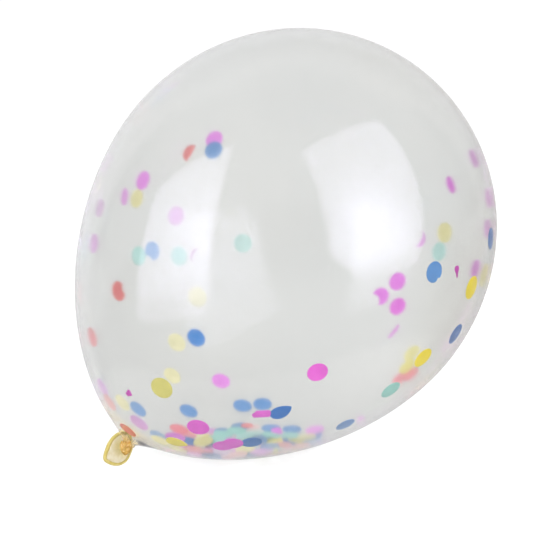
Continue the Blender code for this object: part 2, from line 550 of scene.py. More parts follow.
class Paper:
    """Gathers the dots of one colour into one mesh."""

    def __init__(self, colour):
        self.colour = colour
        self.verts, self.faces, self.tone, self.painted_shading = [], [], [], []
        self.count = 0

    def add(self, mid, nrm, tone):
        """mid: (n, m, 3) middle of the paper. The first and last column are points.
        tone: a number, or a pair of tone and a brightness that paints shade (below 1) or light (above 1) on the
        dot."""
        tone, painted_shading = tone if isinstance(tone, tuple) else (tone, 1.0)
        n, m = mid.shape[:2]
        base = len(self.verts)
        index = {}
        for side in (0, 1):
            lift = (0.5 - side) * PAPER
            for i in range(n):
                for j in range(m):
                    end = i in (0, n - 1)
                    key = (side, i, 0 if end else j)
                    if key not in index:
                        index[key] = base + len(index)
                        jj = m // 2 if end else j
                        self.verts.append(mid[i, jj] + nrm[i, jj] * lift)
                        self.tone.append(tone)
                        self.painted_shading.append(painted_shading)

        def at(side, i, j):
            return index[(side, i, 0 if i in (0, n - 1) else j)]

        def put(*ids):
            ids = [k for q, k in enumerate(ids) if k != ids[q - 1]]
            if len(ids) > 2:
                self.faces.append(tuple(ids))

        for i in range(n - 1):
            for j in range(m - 1):
                put(at(0, i, j), at(0, i + 1, j), at(0, i + 1, j + 1), at(0, i, j + 1))
                put(at(1, i, j), at(1, i, j + 1), at(1, i + 1, j + 1), at(1, i + 1, j))
            put(at(0, i, 0), at(1, i, 0), at(1, i + 1, 0), at(0, i + 1, 0))
            e = m - 1
            put(at(0, i, e), at(0, i + 1, e), at(1, i + 1, e), at(1, i, e))
        self.count += 1


papers = {c: Paper(c) for c in ("pink", "blue", "mint", "yellow", "coral")}
rng = np.random.default_rng(41)


def tangents(n, spin):
    """Two directions in a plane: the first nearest to level, turned by spin."""
    a = np.cross((0.0, 0.0, 1.0), n)
    if np.linalg.norm(a) < 0.05:
        a = np.cross((0.0, 1.0, 0.0), n)
    a = unit(a)
    b = np.cross(n, a)
    c, s = math.cos(spin), math.sin(spin)
    return a * c + b * s, b * c - a * s


def stick(colour, point, kind="round", spin=0.0, size=1.0, tone=0.5, over=0):
    """A dot held flat against the inner side of the skin.
    over: how many other dots it lies on."""
    grid = sheet_grid(kind, size, rng)
    home, n = to_wall(point, LIE)
    a, b = tangents(n, math.radians(spin))
    flat = home + grid[..., :1] * a + grid[..., 1:] * b
    away = np.full(flat.shape[:2], LIE + 0.00025 * over + 0.00005 * rng.uniform(0, 1))
    mid, nrm = to_wall(flat, away)
    papers[colour].add(mid, nrm, tone)


def stick_in_neck(colour, px, py, long, short, tilt, tone):
    """A dot on the near side of the funnel, by the oval that it shows as."""
    grid = sheet_grid("round", 1.0, rng) / (DOT / 2)
    tree = BVHTree.FromPolygons(
        [v.co.copy() for v in skin.data.vertices],
        [tuple(p.vertices) for p in skin.data.polygons],
    )
    c, s = math.cos(math.radians(tilt)), math.sin(math.radians(tilt))
    mid, nrm = np.zeros(grid.shape[:2] + (3,)), np.zeros(grid.shape[:2] + (3,))
    for i, j in np.ndindex(*grid.shape[:2]):
        u, v = grid[i, j] * (long / 2, short / 2)
        d = Vector(tuple(sight(px + u * c + v * s, py + u * s - v * c)))
        at, n, _, _ = tree.ray_cast(Vector(tuple(CAM_AT)), d)
        # from the outer side to the inner one
        at, _, _, _ = tree.ray_cast(at + d * 0.00005, d)
        mid[i, j] = at - n * 0.00022
        nrm[i, j] = n
    papers[colour].add(mid, nrm, tone)


# the heap at the lowest point, as a field of heights over the inner side
CELL = 0.0013
SPAN = 0.115
gx = np.arange(-SPAN, SPAN + CELL / 2, CELL)
GX, GY = np.meshgrid(gx, gx, indexing="ij")


def floor_of_skin():
    lo = np.full(GX.shape, -0.002)
    hi = np.full(GX.shape, CENTRE[2])

    def outside(z):
        p = np.stack((GX, GY, z), -1) - CENTRE
        x = p @ U
        rho = np.linalg.norm(p - x[..., None] * U, axis=-1)
        return (rho > radius_at(x)) | (x < -NECK_REACH) | (x > CROWN_REACH)

    for _ in range(26):
        mid = (lo + hi) / 2
        out = outside(mid)
        lo, hi = np.where(out, mid, lo), np.where(out, hi, mid)
    return pressed(hi)


BED = floor_of_skin() + SKIN + 0.00020
heap = BED.copy()


def bed_slope(field, x, y):
    i = int(np.clip(round((x + SPAN) / CELL), 1, len(gx) - 2))
    j = int(np.clip(round((y + SPAN) / CELL), 1, len(gx) - 2))
    return (
        (field[i + 1, j] - field[i - 1, j]) / (2 * CELL),
        (field[i, j + 1] - field[i, j - 1]) / (2 * CELL),
    )


def drop(colour, x, y, kind="round", spin=0.0, size=1.0, tone=0.5, curl=0.0):
    """A dot let down on the heap: it tips until it lies on what is below."""
    reach = DOT / 2 * size
    d2 = (GX - x) ** 2 + (GY - y) ** 2
    under = d2 < reach * reach
    if under.sum() < 12:
        return
    px, py, pz = GX[under] - x, GY[under] - y, heap[under]
    # the plane through the ground below, then raised onto its highest point
    m = np.stack((px, py, np.ones_like(px)), 1)
    w = 1.0 + 3.0 * np.hypot(px, py) / reach
    sol, *_ = np.linalg.lstsq(m * w[:, None], pz * w, rcond=None)
    bend = curl / (reach * reach)
    c, s = math.cos(math.radians(spin)), math.sin(math.radians(spin))
    v = -px * s + py * c
    form = sol[0] * px + sol[1] * py + bend * v * v
    base = (pz - form).max() + PAPER * 0.75
    n = unit(np.array((-sol[0], -sol[1], 1.0)))
    a = unit(np.array((c, s, sol[0] * c + sol[1] * s)))
    b = np.cross(n, a)
    grid = sheet_grid(kind, size, rng)
    mid = np.array((x, y, base)) + grid[..., :1] * a + grid[..., 1:] * b
    mid = mid + n * (bend * grid[..., 1:] ** 2)
    nrm = np.broadcast_to(n, mid.shape)
    # only the cells that the shape covers rise
    u = (px * c + py * s) / reach
    vv = v / reach
    lo_a, lo_b, up_b = outline(kind, size, np.random.default_rng(3))
    lo_i = np.interp(u * reach, lo_a, lo_b)
    up_i = np.interp(u * reach, lo_a, up_b)
    covered = (vv * reach > lo_i - 0.0004) & (vv * reach < up_i + 0.0004)
    top = base + form + PAPER * 0.75
    cells = np.argwhere(under)[covered]
    heap[cells[:, 0], cells[:, 1]] = np.maximum(
        heap[cells[:, 0], cells[:, 1]], top[covered]
    )
    papers[colour].add(mid, nrm, tone)


COLOURS = ("pink", "blue", "mint", "yellow", "coral")
SHARE = (0.25, 0.23, 0.19, 0.18, 0.15)


def in_frame(p):
    """Where a point shows in the frame."""
    q = np.asarray(p, float) - CAM_AT
    far = -(q @ BACK)
    return 280 + FOCAL * (q @ RIGHT) / far, 280 - FOCAL * (q @ UP) / far


def fill_heap(count, spread, seed):
    r = np.random.default_rng(seed)
    put = 0
    while put < count:
        x, y = r.normal(0, spread, 2) + np.array((-0.006, -0.002))
        px, py = in_frame((x, y, 0.004))
        # the heap's far edge, as the photo shows it
        if py < 433.5 or not 176 < px < 318 or math.hypot(x, y) > 0.068:
            continue
        kind = r.choice(("round", "round", "round", "round", "half", "leaf", "notched"))
        colour = r.choice(COLOURS, p=SHARE)
        curl = float(r.choice((0.0, 0.0, 0.0002, 0.0005)))
        # each dot gets a tone and painted shade, a brightness of 0.86 to 1
        drop(
            str(colour), float(x), float(y), str(kind),
            float(r.uniform(0, 360)), float(r.uniform(0.95, 1.02)),
            (float(r.uniform(-0.2, 0.5)), float(r.uniform(0.86, 1.0))), curl,
        )
        put += 1


def on_heap(px, py):
    """Where a line of sight comes out of the heap, followed from its far end."""
    near, far = hits(px, py)
    t = np.linspace(0.0, 1.0, 1500)[:, None]
    p = far * (1 - t) + near * t
    i = np.clip(np.round((p[:, 0] + SPAN) / CELL).astype(int), 0, len(gx) - 1)
    j = np.clip(np.round((p[:, 1] + SPAN) / CELL).astype(int), 0, len(gx) - 1)
    clear = p[:, 2] > heap[i, j] + 0.0002
    return p[int(clear.argmax())]


fill_heap(50, 0.028, 7)

# what is seen in the heap, from the far side of it to the near side:
# place in the frame, colour, shape, turn, tone (or tone and painted shade), size
SEEN_HEAP = (
    (242.5, 406, "blue", "round", 20, 0.45, 1.0),
    (262.6, 404.4, "blue", "round", 70, 0.5, 1.0),
    (188.7, 410.9, "blue", "round", 0, 0.45, 1.0),
    (221, 380.8, "pink", "round", 0, (0.42, 0.92), 1.0),
    (292, 429.2, "blue", "round", 0, (0.4, 0.97), 1.0),
    (314.8, 430.3, "pink", "round", 0, (0.3, 0.93), 1.0),
    (271, 428, "blue", "round", 0, (0.4, 0.96), 1.0),
    (241, 426.2, "blue", "round", 0, (0.2, 0.80), 1.0),
    (254, 427.0, "coral", "leaf", 0, (-0.3, 0.95), 0.7),
    (247, 425.6, "coral", "round", 0, (0.65, 0.90), 0.64),
    (179.2, 430.2, "coral", "round", 0, (0.55, 0.95), 1.0),
    (211, 432.6, "pink", "round", 0, (0.2, 0.88), 1.0),
    (224, 432.8, "blue", "round", 0, (0.15, 0.85), 1.0),
    (223, 435.8, "mint", "round", 0, (0.7, 0.90), 1.0),
    (236.5, 432.0, "mint", "round", 0, (0.7, 0.90), 1.0),
    (254.5, 435.0, "mint", "round", 0, (0.2, 0.82), 1.0),
    (245.5, 436.8, "mint", "round", 0, (0.4, 0.86), 1.0),
    (189.5, 442.5, "blue", "round", 20, (0.55, 0.78), 1.0),
    (216, 440.0, "mint", "round", 0, (0.6, 0.90), 1.0),
    (175.3, 438.4, "pink", "round", 0, (0.45, 0.72), 1.04),
    (271.5, 436.4, "mint", "round", 0, (0.65, 0.90), 1.0),
    (290, 436.6, "mint", "round", 0, (0.5, 0.90), 1.0),
    (276.8, 431.8, "pink", "half", 60, (0.5, 0.90), 1.0),
    (306.5, 439.2, "yellow", "round", 0, (0.05, 0.88), 1.0),
    (203.3, 444.0, "yellow", "round", 0, (0.25, 0.80), 1.0),
    (300.5, 446.8, "coral", "round", 0, (-0.05, 0.86), 1.0),
    (282.0, 446.2, "coral", "round", 0, (0.05, 0.84), 1.0),
    (269.5, 448.0, "blue", "round", 0, (0.0, 0.84), 1.0),
    (193.6, 450.0, "coral", "round", 0, (0.2, 0.92), 1.0),
    (223, 453.2, "pink", "round", 0, (-0.4, 0.76), 1.0),
    (259.5, 453.0, "pink", "round", 0, (0.1, 0.88), 1.0),
    (245.2, 452.0, "yellow", "round", 0, (0.1, 0.92), 1.0),
    (237.5, 457.2, "coral", "round", 0, (-0.2, 0.92), 1.0),
    (211.2, 456.9, "blue", "round", 0, (0.3, 0.55), 1.0),
)
for px, py, colour, kind, spin, tone, size in SEEN_HEAP:
    found = hits(px, py)
    if found is None:
        continue
    far = found[1]
    if far[2] < 0.03 and math.hypot(far[0], far[1]) < 0.1:
        far = on_heap(px, py)
        drop(colour, float(far[0]), float(far[1]), kind, spin, size, tone)
    else:
        stick(colour, far, kind, spin, size, tone)

# dots held on the skin: place, side (near 0, far 1), colour, shape, turn,
# size, tone (or tone and painted shade or light), how many it lies on
SEEN_SKIN = (
    (214.4, 139.2, 1, "pink", "round", 0, 1.02, 0.42, 0),
    (213.6, 149.8, 1, "blue", "round", 0, 1.05, 0.40, 1),
    (188.4, 151.9, 1, "coral", "half", 298, 1.0, (0.70, 0.97), 0),
    (142.7, 180.6, 1, "pink", "round", 0, 1.05, 0.40, 0),
    (136.6, 198.7, 1, "yellow", "round", 0, 1.02, 0.12, 0),
    (124.3, 196.8, 1, "pink", "leaf", 90, 0.97, (0.25, 0.93), 0),
    (99.4, 208.4, 1, "pink", "round", 0, 0.96, (-0.05, 0.97), 0),
    (93.6, 243.8, 1, "pink", "round", 0, 1.03, (0.08, 0.97), 0),
    (176, 215.9, 1, "pink", "round", 0, 1.04, (-0.10, 0.92), 0),
    (138.4, 256.2, 1, "mint", "round", 0, 1.05, (0.34, 0.99), 0),
    (152.0, 251.2, 1, "blue", "clipped", 8, 1.03, (0.02, 1.0), 0),
    (178.8, 256.2, 1, "mint", "round", 0, 1.05, (0.15, 0.92), 0),
    (192.3, 253.2, 1, "pink", "sliver", 310, 0.85, (0.0, 0.85), 0),
    (242.8, 243.2, 1, "mint", "round", 0, 1.04, (0.08, 0.96), 0),
    (118.2, 291.6, 1, "coral", "clipped", 236, 1.07, (0.72, 0.86), 0),
    (197.2, 297.0, 1, "yellow", "round", 0, 1.14, (-0.40, 0.95), 0),
    (91.8, 337.9, 1, "coral", "round", 0, 1.03, 0.22, 0),
    (195.9, 338.0, 1, "blue", "round", 0, 1.06, 0.7, 0),
    (176.4, 342.7, 1, "yellow", "round", 0, 1.08, (0.0, 0.92), 0),
    (161.0, 388.8, 0, "yellow", "round", 0, 1.07, 0.5, 0),
    (171.8, 376.3, 1, "yellow", "round", 0, 1.0, (0.05, 0.93), 0),
    (317, 372.7, 0, "pink", "round", 0, 0.97, 0.88, 0),
    (127.9, 394.3, 0, "pink", "scrap", 60, 0.40, (0.95, 0.70), 0),
    (101.9, 388.2, 1, "pink", "round", 0, 1.0, (0.0, 0.96), 0),
    (109.2, 403.2, 1, "coral", "round", 0, 0.98, (-0.1, 0.96), 0),
    (122.0, 403.4, 1, "yellow", "round", 0, 1.0, (0.0, 0.96), 0),
    (137.4, 409.6, 1, "blue", "round", 0, 1.0, (0.25, 0.97), 0),
    (138.2, 423.8, 1, "pink", "round", 0, 1.10, (0.12, 0.78), 1),
    (157.4, 436.2, 1, "blue", "round", 0, 0.94, (0.0, 0.84), 0),
    (159.4, 441.5, 1, "yellow", "round", 0, 1.04, (0.15, 0.95), 1),
    (197.1, 427.8, 0, "pink", "round", 0, 1.05, (0.85, 1.06), 0),
    (175.6, 442.7, 0, "yellow", "petal", 338, 1.06, (0.75, 1.32), 0),
    (222, 446.3, 0, "pink", "round", 0, 1.0, (0.8, 1.06), 0),
    (231.6, 444.2, 0, "pink", "round", 0, 1.0, (0.8, 1.04), 1),
    (250.6, 443.4, 0, "blue", "round", 0, 0.97, (0.75, 0.96), 2),
    (260.5, 414.5, 0, "pink", "strip", 1, 0.88, 0.8, 0),
    (280.4, 412.6, 0, "blue", "petal", 36, 1.10, 0.93, 1),
    (344.8, 424.8, 0, "blue", "round", 0, 0.96, (0.5, 1.0), 0),
    (360.4, 419.5, 1, "pink", "half", 0, 0.8, 0.2, 0),
    (390.4, 390.2, 0, "mint", "round", 0, 1.04, (0.8, 0.98), 0),
    (411.0, 374.4, 1, "coral", "round", 0, 1.0, 0.5, 0),
    (400.6, 378.4, 1, "coral", "round", 0, 1.02, 0.42, 0),
    (407.4, 367.0, 1, "yellow", "round", 0, 1.0, (0.45, 0.94), 1),
    (412.2, 353.4, 1, "yellow", "round", 0, 1.04, (0.28, 0.94), 0),
    (422.9, 357.8, 0, "yellow", "round", 0, 1.06, 0.98, 0),
    (455.5, 334.0, 0, "blue", "round", 0, 1.06, (0.98, 0.62), 0),
    (393.4, 331.2, 1, "pink", "blade", 100, 0.98, (0.40, 0.92), 0),
    (397.8, 281.2, 1, "pink", "round", 0, 1.03, (0.5, 0.97), 0),
    (397.9, 306.2, 1, "pink", "round", 0, 1.02, (0.6, 0.93), 0),
    (380.6, 296.2, 1, "pink", "bitten", 45, 1.02, (0.5, 0.95), 0),
    (445.0, 232, 1, "yellow", "round", 0, 1.12, (0.15, 0.99), 0),
    (439.5, 251.1, 1, "mint", "round", 0, 1.04, (0.32, 0.98), 0),
    (434.3, 272.0, 0, "blue", "notched", 355, 0.99, (0.5, 1.0), 0),
    (422.9, 240.6, 1, "pink", "crescent", 106, 0.98, (0.3, 0.95), 0),
    (457, 271.6, 0, "pink", "comma", 90, 0.60, (1.0, 0.52), 0),
    (476, 268.4, 1, "pink", "round", 0, 1.02, (0.45, 0.78), 0),
    (471.6, 287.5, 0, "yellow", "round", 0, 1.15, (1.0, 0.90), 0),
    (484.8, 275, 1, "yellow", "round", 0, 1.25, (0.5, 0.94), 0),
    (451, 183.6, 1, "pink", "leaf", 62, 0.98, (0.55, 0.95), 0),
    (474.0, 157, 1, "pink", "round", 0, 1.03, (0.35, 0.96), 0),
    (489.3, 197, 1, "pink", "round", 0, 1.08, (0.55, 0.93), 0),
    (488.2, 228, 1, "pink", "round", 0, 1.05, (0.35, 0.86), 0),
    (490.9, 238.2, 0, "blue", "round", 0, 1.06, (0.98, 0.62), 0),
)
for px, py, side, colour, kind, spin, size, tone, over in SEEN_SKIN:
    near_far = hits(px, py)
    if near_far is not None:
        stick(colour, near_far[side], kind, spin, size, tone, over)
stick_in_neck("coral", 127.9, 430.0, 20.0, 5.2, 38, (0.75, 1.0))


def paper_material(name, deep, mid, pale, wash):
    mat, nt, bsdf = shader_material(name)
    bsdf.inputs["Roughness"].default_value = 0.75
    bsdf.inputs["Specular IOR Level"].default_value = 0.25
    co = nt.nodes.new("ShaderNodeTexCoord").outputs["Object"]
    tone = nt.nodes.new("ShaderNodeAttribute")
    tone.attribute_type = "GEOMETRY"
    tone.attribute_name = "tone"
    t = tone.outputs["Fac"]
    base = mix_colour(nt, ramp(nt, t, -0.5, 0.0, False), wash, pale)
    base = mix_colour(nt, ramp(nt, t, 0.0, 0.5, False), base, mid)
    base = mix_colour(nt, ramp(nt, t, 0.5, 1.0, False), base, deep)
    # painted shade and light: a per-dot brightness scales the colour
    painted_shading = nt.nodes.new("ShaderNodeAttribute")
    painted_shading.attribute_type = "GEOMETRY"
    painted_shading.attribute_name = "painted_shading"
    fibre = noise(nt, co, 900.0, 4.0, 0.65)
    cloud = noise(nt, co, 160.0, 2.0)
    grey = mix_colour(nt, ramp(nt, cloud, 0.3, 0.7), (0.90, 0.90, 0.90), (1.0, 1.0, 1.0))
    scale = nt.nodes.new("ShaderNodeVectorMath")
    scale.operation = "SCALE"
    nt.links.new(grey, scale.inputs[0])
    nt.links.new(painted_shading.outputs["Fac"], scale.inputs["Scale"])
    dark = nt.nodes.new("ShaderNodeMix")
    dark.data_type = "RGBA"
    dark.blend_type = "MULTIPLY"
    dark.inputs[0].default_value = 1.0
    nt.links.new(base, dark.inputs[6])
    nt.links.new(scale.outputs[0], dark.inputs[7])
    nt.links.new(dark.outputs[2], bsdf.inputs["Base Color"])
    bump(nt, fibre, 0.35, 0.00005, bsdf.inputs["Normal"])
    return mat


TONES = {
    "pink": ((0.90, 0.13, 0.70), (0.76, 0.24, 0.76), (0.76, 0.52, 0.78), (0.80, 0.70, 0.83)),
    "blue": ((0.04, 0.20, 0.60), (0.12, 0.27, 0.54), (0.30, 0.44, 0.66), (0.50, 0.60, 0.74)),
    "mint": ((0.26, 0.60, 0.52), (0.40, 0.66, 0.61), (0.60, 0.76, 0.74), (0.72, 0.80, 0.79)),
    "yellow": ((0.84, 0.68, 0.02), (0.76, 0.70, 0.22), (0.77, 0.74, 0.48), (0.78, 0.77, 0.64)),
    "coral": ((0.75, 0.22, 0.15), (0.77, 0.25, 0.30), (0.79, 0.45, 0.44), (0.80, 0.64, 0.63)),
}
for colour, paper in papers.items():
    obj = new_object("confetti_" + colour, paper.verts, paper.faces, smooth=False)
    for name, values in (("tone", paper.tone), ("painted_shading", paper.painted_shading)):
        att = obj.data.attributes.new(name, "FLOAT", "POINT")
        att.data.foreach_set("value", np.array(values, np.float32))
    obj.data.shade_smooth()
    obj.data.set_sharp_from_angle(angle=math.radians(50))
    obj.data.materials.append(paper_material("paper_" + colour, *TONES[colour]))
    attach(obj, "root")

# ---- knot and rolled lip -----------------------------------------------------
def tube_mesh(path, radii, sides=14):
    """A closed tube round a ring of points."""
    path = np.asarray(path, float)
    n = len(path)
    tan = unit(np.roll(path, -1, 0) - np.roll(path, 1, 0))
    mid = path.mean(0)
    out = unit(path - mid)
    out = unit(out - (out * tan).sum(1)[:, None] * tan)
    oth = np.cross(tan, out)
    a = np.linspace(0, 2 * math.pi, sides, endpoint=False)
    verts = (
        path[:, None]
        + radii[:, None, None]
        * (np.cos(a)[None, :, None] * out[:, None] + np.sin(a)[None, :, None] * oth[:, None])
    )
    faces = []
    for i in range(n):
        p = (i + 1) % n
        for j in range(sides):
            q = (j + 1) % sides
            faces.append((i * sides + j, i * sides + q, p * sides + q, p * sides + j))
    return [tuple(v) for v in verts.reshape(-1, 3)], faces


def local_frame(normal, lead):
    n = unit(normal)
    a = unit(np.asarray(lead, float) - (np.asarray(lead, float) @ n) * n)
    return a, np.cross(n, a), n


def ring_path(centre, normal, major, count=48, squash=1.0):
    a, b, _ = local_frame(normal, (0.1, 1.0, 0.2))
    t = np.linspace(0, 2 * math.pi, count, endpoint=False)
    return centre + major * (np.cos(t)[:, None] * a + squash * np.sin(t)[:, None] * b)


def blob(name, parts, voxel, rounds):
    """One skin round several overlapping closed shapes."""
    verts, faces = [], []
    for v, f in parts:
        off = len(verts)
        verts += list(v)
        faces += [tuple(i + off for i in q) for q in f]
    obj = new_object(name, verts, faces)
    mod = obj.modifiers.new("skin", "REMESH")
    mod.mode = "VOXEL"
    mod.voxel_size = voxel
    mod.adaptivity = 0.0
    smooth = obj.modifiers.new("ease", "SMOOTH")
    smooth.factor = 0.5
    smooth.iterations = rounds
    bpy.context.view_layer.update()
    graph = bpy.context.evaluated_depsgraph_get()
    done = bpy.data.meshes.new_from_object(obj.evaluated_get(graph))
    obj.modifiers.clear()
    obj.data = done
    done.shade_smooth()
    return obj


def ball(centre, half, frame_axes, seg=28, rings=18):
    a, b, c = frame_axes
    verts, faces = [], []
    th = np.linspace(0, math.pi, rings + 1)[1:-1]
    ph = np.linspace(0, 2 * math.pi, seg, endpoint=False)
    rows = []
    for t in th:
        rows.append([
            centre + half[0] * math.sin(t) * math.cos(p) * a
            + half[1] * math.sin(t) * math.sin(p) * b
            + half[2] * math.cos(t) * c
            for p in ph
        ])
    v, f = closed_rows(np.array(rows), centre + half[2] * c, centre - half[2] * c)
    return v, f


def strand(points, radii, sides=14):
    """A capped tube along open points."""
    pts = np.asarray(points, float)
    tan = unit(np.gradient(pts, axis=0))
    ref = np.array((0.3, 1.0, 0.1))
    rows = []
    for p, t, r in zip(pts, tan, radii):
        a = unit(ref - (ref @ t) * t)
        b = np.cross(t, a)
        ang = np.linspace(0, 2 * math.pi, sides, endpoint=False)
        rows.append(p + r * (np.cos(ang)[:, None] * a + np.sin(ang)[:, None] * b))
    return closed_rows(np.array(rows), pts[0] - tan[0] * radii[0] * 0.5, pts[-1] + tan[-1] * radii[-1] * 0.5, True)


def wrinkle(obj, centre, amount, scale, stretch):
    """Fine folds that run with the pull of the latex."""
    me = obj.data
    co = np.zeros(len(me.vertices) * 3, np.float32)
    no = np.zeros(len(me.vertices) * 3, np.float32)
    me.vertices.foreach_get("co", co)
    me.vertex_normals.foreach_get("vector", no)
    co, no = co.reshape(-1, 3).astype(float), no.reshape(-1, 3).astype(float)
    q = (co - centre)
    long = q @ stretch
    flat = q - long[:, None] * stretch
    s = flat * scale + long[:, None] * stretch * scale * 0.22
    h = np.array([noise_at(Vector(tuple(v))) for v in s])
    co = co + no * (h * amount)[:, None]
    me.vertices.foreach_set("co", co.astype(np.float32).ravel())
    me.update()


def noise_at(v):
    from mathutils import noise as field
    return field.noise(v) + 0.5 * field.noise(v * 2.3 + Vector((3.1, 0.7, 5.2)))


NEAR_PPM = 1393.0         # pixels in a metre, at the knot
THETA = np.linspace(0, 2 * math.pi, 168, endpoint=False)
LN = -LIP_NORMAL          # the lip opens away, its outer side is towards the knot
LA = unit(RIGHT - (RIGHT @ LN) * LN)
LB = np.cross(LN, LA)


def at_view(px, py, depth):
    """By its place in the frame, and its depth in mm towards the camera."""
    return (
        KNOT + ((px - 126.3) * RIGHT - (py - 447.3) * UP) / NEAR_PPM
        + depth * 0.001 * BACK
    )


def bead_radius():
    return 0.00118 + 0.00030 * np.cos(THETA - math.radians(168)) + 0.00005 * np.sin(5 * THETA)


# the lip's outer edge: how far it reaches at each turn from the right
LIP_EDGE = (
    (0, 13.8), (16, 14.4), (35, 16.0), (54, 17.4), (69, 17.7), (85, 16.7),
    (94, 15.8), (108, 14.2), (130, 12.4), (151, 12.0), (171, 12.0), (187, 12.9),
    (203, 14.8), (214, 16.8), (221, 17.6), (233, 17.2), (250, 17.2), (266, 17.2),
    (277, 17.0), (290, 16.2), (299, 15.6), (312, 14.5), (332, 13.2), (351, 13.4),
    (360, 13.8),
)


def lip_path():
    """The rolled ring: a limp oval with a corner at its lower left."""
    turns, reach = zip(*LIP_EDGE)
    r = np.interp(np.degrees(THETA), turns, reach)
    for _ in range(6):
        r = 0.5 * r + 0.25 * (np.roll(r, 1) + np.roll(r, -1))
    r = r / NEAR_PPM - bead_radius()
    flat = (r * np.cos(THETA))[:, None] * RIGHT + (r * np.sin(THETA))[:, None] * UP
    depth = -(flat @ LN) / (BACK @ LN)
    warp = 0.00045 * np.sin(2 * THETA + 0.7) + 0.00025 * np.sin(3 * THETA + 2.0)
    return at_view(118.0, 449.0, -3.0) + flat + (depth + warp)[:, None] * BACK


def make_knot():
    def run(points, radii):
        pts = np.array([at_view(*p) for p in points])
        s = np.linspace(0, len(pts) - 1, 6 * len(pts))
        k = np.arange(len(pts))
        # a smooth line through the points
        fine = np.stack([np.interp(s, k, pts[:, i]) for i in range(3)], 1)
        for _ in range(6):
            fine[1:-1] = 0.5 * fine[1:-1] + 0.25 * (fine[:-2] + fine[2:])
        return strand(fine, np.interp(s, k, np.array(radii) * 0.001), 16)

    axes = (RIGHT, BACK, UP)
    parts = [
        ball(at_view(126.1, 447.9, 0.0), (0.0037, 0.0035, 0.0048), axes),
        # the neck comes down into the knot
        run([(127.8, 443.2, -0.4), (127.4, 444.6, -0.2), (127.0, 446.0, 0.0), (126.5, 448.0, 0.0)],
            (3.0, 3.3, 3.3, 3.0)),
        # the turn down the right side, drawn tight over the front
        run([(128.4, 441.6, 2.0), (130.3, 443.6, 2.4), (130.6, 447.2, 2.4), (129.0, 451.0, 2.0),
             (126.4, 453.6, 1.2)], (1.2, 1.35, 1.4, 1.4, 1.2)),
        # the turn on the left
        run([(123.0, 441.4, 1.0), (121.7, 444.2, 2.0), (121.9, 448.0, 2.3), (123.4, 451.6, 2.0),
             (126.0, 454.2, 0.8)], (1.15, 1.3, 1.35, 1.35, 1.2)),
        # the strand that crosses between them
        run([(122.4, 450.4, 1.4), (124.4, 448.0, 3.2), (126.6, 445.6, 3.8), (128.8, 443.2, 3.0),
             (130.2, 441.9, 1.0)], (1.1, 1.35, 1.4, 1.35, 1.1)),
        # the end that opens into the lip
        run([(126.0, 448.0, -0.6), (125.0, 449.0, -2.2), (123.8, 449.4, -3.8)], (3.0, 2.9, 2.6)),
    ]
    obj = blob("knot", parts, 0.00020, 3)
    wrinkle(obj, KNOT, 0.00012, 950.0, UP)
    return obj


def make_bead():
    v, f = tube_mesh(lip_path(), bead_radius(), 20)
    return new_object("lip_bead", v, f)


def make_membrane():
    path = lip_path()
    mid = path.mean(0)
    inward = unit(mid - path)
    throat = at_view(124.0, 449.3, -3.2)
    tr = 0.0025
    ring = throat + tr * (np.cos(THETA)[:, None] * LA + np.sin(THETA)[:, None] * LB)
    start = path + (inward * 0.45 + LN * 0.30) * bead_radius()[:, None]
    far = np.linalg.norm(ring - start, axis=1)[:, None]
    h0 = start + (inward * 0.85 + LN * 0.20) * far * 0.42
    h3 = ring - LN * far * 0.34
    rows = []
    steps = 30
    fold = (
        0.5 * np.cos(8 * THETA + 0.5) + 0.35 * np.cos(13 * THETA + 1.9)
        + 0.3 * np.cos(5 * THETA - 0.7)
    )
    for k in range(steps + 1):
        t = k / steps
        p = (1 - t) ** 3 * start + 3 * (1 - t) ** 2 * t * h0 + 3 * (1 - t) * t * t * h3 + t ** 3 * ring
        deep = 0.00024 * math.sin(math.pi * min(1.0, t * 0.7)) ** 1.5
        rows.append(p + LN * (fold * deep)[:, None])
    rows = np.array(rows)
    # a thin wall: front and back joined at both edges
    ahead = np.roll(rows, -1, 1) - np.roll(rows, 1, 1)
    along = np.gradient(rows, axis=0)
    nrm = unit(np.cross(ahead, along))
    if (nrm * LN).sum() < 0:
        nrm = -nrm
    t = np.linspace(0, 1, steps + 1)[:, None, None]
    half = 0.00016 + 0.00018 * t
    front, back = rows + nrm * half, rows - nrm * half
    loop = np.concatenate((front, back[::-1]))
    n, m = loop.shape[:2]
    faces = []
    for i in range(n):
        p = (i + 1) % n
        for j in range(m):
            q = (j + 1) % m
            faces.append((i * m + j, p * m + j, p * m + q, i * m + q))
    obj = new_object("lip_membrane", loop.reshape(-1, 3), faces)
    bm = bmesh.new()
    bm.from_mesh(obj.data)
    bmesh.ops.recalc_face_normals(bm, faces=bm.faces)
    bm.to_mesh(obj.data)
    bm.free()
    obj.data.shade_smooth()
    return obj


def thick_material(name, clear, rough, ior, deep, light, bumps, amber=None):
    """Unstretched latex: amber where it is thick, straw where it is thin."""
    mat, nt, bsdf = shader_material(name)
    bsdf.inputs["Transmission Weight"].default_value = clear
    bsdf.inputs["Roughness"].default_value = rough
    bsdf.inputs["IOR"].default_value = ior
    co = nt.nodes.new("ShaderNodeTexCoord").outputs["Object"]
    cloud = noise(nt, co, 420.0, 3.0, 0.55)
    base = mix_colour(nt, ramp(nt, cloud, 0.35, 0.64), deep, light)
    if amber is not None:
        near = distance_to(nt, co, KNOT)
        base = mix_colour(nt, ramp(nt, near, 0.0112, 0.0058), base, amber)
    nt.links.new(base, bsdf.inputs["Base Color"])
    fine = noise(nt, co, 1500.0, 3.0, 0.6)
    bump(nt, fine, bumps, 0.00012, bsdf.inputs["Normal"])
    return mat


